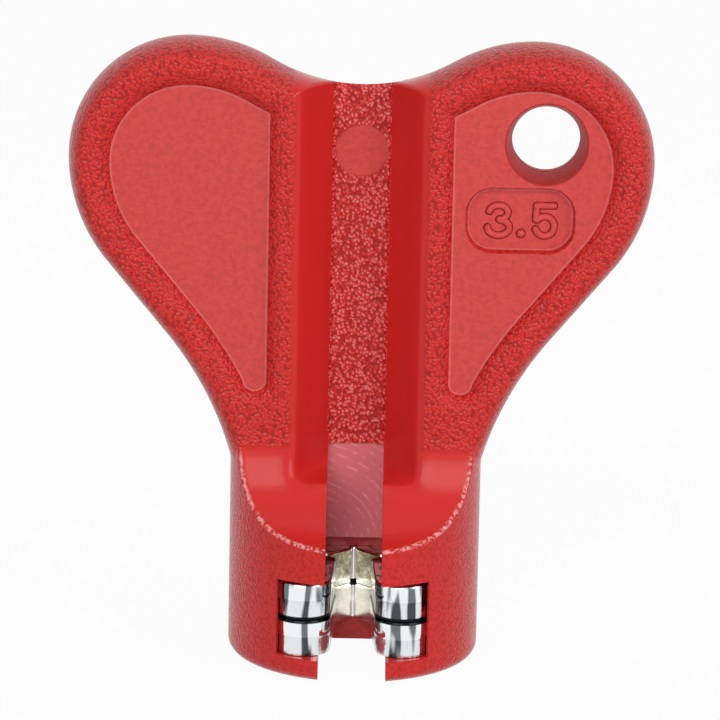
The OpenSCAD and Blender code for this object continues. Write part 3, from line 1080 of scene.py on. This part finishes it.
def swirled(material, colour, scratch, roughness):
    """Red plastic that was scraped: thin pale scratches, as short arcs round one point."""
    place = start(material)
    aside = add(material, "Mapping", {"Location": SCRATCH_CENTRE}, {"Vector": place})
    rings = add(material, "TexWave", {"wave_type": "RINGS", "rings_direction": "Y",
                                      "Scale": RING_PITCH / (SCRATCH_STEP * MM), "Distortion": 5.0,
                                      "Detail": 1.0, "Detail Scale": 0.3},
                {"Vector": aside.outputs[0]})
    line = fade(material, rings.outputs["Fac"], 0.6, 1.0)
    cloud = add(material, "TexNoise", {"Scale": 1 / (0.9 * MM), "Detail": 2.0}, {"Vector": place})
    tint = add(material, "Mix", {"data_type": "RGBA", 6: linear(colour), 7: linear(scratch)},
               {0: pick(material, "MULTIPLY", line, fade(material, cloud.outputs[0], 0.4, 0.7))})
    uneven = add(material, "Bump", {"Strength": 1.0, "Distance": 0.03 * MM},
                 {"Height": cloud.outputs[0]})
    close_nylon(material, roughness, tint.outputs[2], uneven.outputs[0])


# %% The handle's finishes, with sizes in millimetres
BEAD = 0.3
BEAD_DRIFT = 0.3
BEAD_H = 0.14
SCRATCH_STEP = 0.7

# The darker red is painted shade for the creases, the pale pink a painted highlight.
spark_eroded(grained, RED, "#A81E1C", "#EA9A98", 0.2)
# The satin red is pinker than RED; part of that pink is painted sheen.
nylon(satin, "#D14946", 0.36, ((0.2, 0.07, 0.0),))
nylon(drawn, "#B42523", 0.5, ((0.8, 0.02, 0.4),))
nylon(polished, "#C42A28", 0.25, ((1.2, 0.02, 0.6),))
# The pale strip round the floors of the panels and the plaque is a painted highlight.
nylon(edge_highlight, "#D86664", 0.36, ((0.2, 0.02, 0.0),))
# The stop's mauve pink is partly painted sheen; its paler scratches are marks of its own.
swirled(scraped, "#DA767C", "#E79299", 0.3)


# %% [markdown]
# ## Nickel-plated steel
# The stamped jaws are plated: the burnished band mirrors and the torn band is duller. In the
# photo their round tips mirror dark bands and the gap between the plates lies in shadow. This
# room is white all round, so colour stands in for both: dull upright streaks on the steel, and a
# dark line where the plates' edges meet.

# %% Steel finishes, with sizes in millimetres
STREAK = 0.9
STREAK_STRETCH = 0.15
GAP_HALF = 0.26
GAP_EDGE = 0.08
GAP_DARK = "#1C2022"


def steel(material, colour, dark_reflection, roughness, pitch, height, stretch):
    """Steel with marks stretched upwards, upright streaks of painted reflection, and a line of
    painted shadow between the plates.
    """
    place = start(material)
    turned = add(material, "Mapping", {"Scale": (1, 1, stretch)}, {"Vector": place})
    marks = add(material, "TexNoise", {"Scale": 1 / (pitch * MM), "Detail": 2.0},
                {"Vector": turned.outputs[0]})
    bump = add(material, "Bump", {"Strength": 1.0, "Distance": height * MM},
               {"Height": marks.outputs[0]})
    # Painted reflection: upright streaks in the darker colour stand in for the dark bands that the
    # steel mirrors.
    stretched_up = add(material, "Mapping", {"Scale": (1, 1, STREAK_STRETCH)}, {"Vector": place})
    streaks = add(material, "TexNoise", {"Scale": 1 / (STREAK * MM), "Detail": 1.0},
                  {"Vector": stretched_up.outputs[0]})
    tone = add(material, "Mix", {"data_type": "RGBA", 6: linear(colour), 7: linear(dark_reflection)},
               {0: fade(material, streaks.outputs[0], 0.5, 0.62)})
    # Painted shadow: a dark line round the gap where the two plates meet.
    axes = add(material, "SeparateXYZ", links={"Vector": place})
    above_seam = add(material, "Math", {"operation": "SUBTRACT", 1: seam_h * MM},
                     {0: axes.outputs["Z"]}).outputs[0]
    in_gap = fade(material, magnitude(material, above_seam), GAP_HALF * MM,
                  (GAP_HALF + GAP_EDGE) * MM, 1.0, 0.0)
    shaded = add(material, "Mix", {"data_type": "RGBA", 7: linear(GAP_DARK)},
                 {0: in_gap, 6: tone.outputs[2]})
    shader = add(material, "BsdfPrincipled", {"Metallic": 1.0, "Roughness": roughness},
                 {"Base Color": shaded.outputs[2], "Normal": bump.outputs[0]})
    close(material, shader)


steel(plated, "#F1F5F7", "#6F777B", 0.09, 0.3, 0.005, 0.1)
steel(torn, "#E4E9EC", "#4A5054", 0.2, 0.35, 0.05, 0.5)


UPPER_JAW = (6.0 * MM, 6.3 * MM)
CREAM_TO_OLIVE = ((0.5, "#FFFEF6"), (0.62, "#FAF7EA"), (0.74, "#DAD5C2"), (0.9, "#B5AF9A"))


def cream_steel(material):
    """Seat faces: a cream film with olive wear, and more olive on the upper jaw."""
    place = start(material)
    axes = add(material, "SeparateXYZ", links={"Vector": place})
    specks = add(material, "TexNoise", {"Scale": 1 / (0.45 * MM), "Detail": 4.0,
                                        "Roughness": 0.7}, {"Vector": place})
    upper = fade(material, axes.outputs["Z"], *UPPER_JAW, 0.0, 0.3)
    final_tone = add(material, "Math", {"operation": "ADD"}, {0: specks.outputs[0], 1: upper})
    ramp = add(material, "ValToRGB", links={"Fac": final_tone.outputs[0]})
    while len(ramp.color_ramp.elements) < len(CREAM_TO_OLIVE):
        ramp.color_ramp.elements.new(0.5)
    for element, (position, colour) in zip(ramp.color_ramp.elements, CREAM_TO_OLIVE):
        element.position, element.color = position, linear(colour)
    bump = add(material, "Bump", {"Strength": 1.0, "Distance": 0.012 * MM},
               {"Height": specks.outputs[0]})
    shader = add(material, "BsdfPrincipled", {"Roughness": 0.25, "Metallic": 1.0},
                 {"Base Color": ramp.outputs[0], "Normal": bump.outputs[0]})
    close(material, shader)


cream_steel(seat_steel)
steel(relief_steel, "#FFFFFF", "#FFFFFF", 0.3, 0.3, 0.005, 0.2)

# %% [markdown]
# ## The studio
# A white table and a white room, seen by the camera and by whatever mirrors them. The object is
# lit by large soft lamps, so that a colour looks about as it is written. The table keeps a trace
# of its own shading, and with it the object's shadow.

# %% The table
FLOOR_R = 3.0
GLOW = 0.94


def seen_directly(owner):
    """1 for rays from the camera, and for those that a mirror or glass sends on."""
    ray = add(owner, "LightPath")
    sharp = pick(owner, "MAXIMUM", ray.outputs["Is Glossy Ray"],
                 ray.outputs["Is Transmission Ray"])
    return pick(owner, "MAXIMUM", ray.outputs["Is Camera Ray"], sharp)


def make_floor():
    bm = bmesh.new()
    bmesh.ops.create_circle(bm, cap_ends=True, segments=64, radius=FLOOR_R)
    floor = piece_from(bm, "table")
    paint = blank("white_table")
    floor.data.materials.append(paint)
    start(paint)
    plain = add(paint, "BsdfDiffuse", {"Color": (0.85, 0.85, 0.85, 1)})
    white = add(paint, "Emission", {"Strength": 1.0})
    part = add(paint, "Math", {"operation": "MULTIPLY", 1: GLOW}, {0: seen_directly(paint)})
    close(paint, add(paint, "MixShader", links={0: part.outputs[0], 1: plain.outputs[0],
                                                2: white.outputs[0]}))


make_floor()

# %% [markdown]
# The room is white to the eye, and in whatever mirrors it. It gives the object a soft grey light.

# %% The room
def make_room():
    world = bpy.data.worlds.new("white_room")
    bpy.context.scene.world = world
    world.use_nodes = True
    world.node_tree.nodes.clear()
    soft = add(world, "Background", {"Color": (0.45, 0.45, 0.45, 1), "Strength": 0.4})
    white = add(world, "Background", {"Color": (1, 1, 1, 1), "Strength": 1.0})
    mix = add(world, "MixShader", links={0: seen_directly(world), 1: soft.outputs[0],
                                         2: white.outputs[0]})
    add(world, "OutputWorld", links={"Surface": mix.outputs[0]})


make_room()


# %% The lamps; the top one isn't mirrored, so that no bright band lies on the ramps
def make_lamp(name, at, aim, size, watts, mirrored=True):
    lamp = bpy.data.lights.new(name, "AREA")
    lamp.shape, lamp.size, lamp.size_y, lamp.energy = "RECTANGLE", size[0], size[1], watts
    holder = bpy.data.objects.new(name, lamp)
    holder.location = at
    holder.rotation_euler = (Vector(aim) - Vector(at)).to_track_quat("-Z", "Y").to_euler()
    holder.visible_glossy = mirrored
    bpy.context.scene.collection.objects.link(holder)


make_lamp("front_softbox", (-0.2, -0.7, 0.45), (0, 0, 0.03), (0.6, 0.5), 3.7)
make_lamp("right_softbox", (0.32, -0.25, 0.22), (0, 0, 0.035), (0.25, 0.3), 0.8)
make_lamp("top_softbox", (0, 0.15, 0.8), (0, 0, 0.03), (0.8, 0.6), 1.3, False)

# %% [markdown]
# ## The camera
# A long lens from a little above, turned by a hair round its own axis. It looks at the front of
# the wings, so the outline hardly narrows with depth.

# %% The camera
EYE = Vector((0, -450, 141.88)) * MM
PITCH = math.radians(14.287)
ROLL = math.radians(1.15)
right = Vector((1, 0, 0))
above = Vector((0, math.sin(PITCH), math.cos(PITCH)))
forward = Vector((0, math.cos(PITCH), -math.sin(PITCH)))
turned = Matrix((right * math.cos(ROLL) + above * math.sin(ROLL),
                 above * math.cos(ROLL) - right * math.sin(ROLL), -forward)).transposed()

camera = bpy.data.cameras.new("camera")
camera.lens, camera.sensor_width = 256.04, 36
camera.shift_x, camera.shift_y = 0.00324, 0.0003
tripod = bpy.data.objects.new("camera", camera)
tripod.matrix_world = Matrix.Translation(EYE) @ turned.to_4x4()
bpy.context.scene.collection.objects.link(tripod)
bpy.context.scene.camera = tripod

# %% [markdown]
# ## The view transform
# The Standard view transform shows colours without a film curve. The visual must stay
# inside the imported model's box.

# %% Finish
bpy.context.scene.view_settings.view_transform = "Standard"
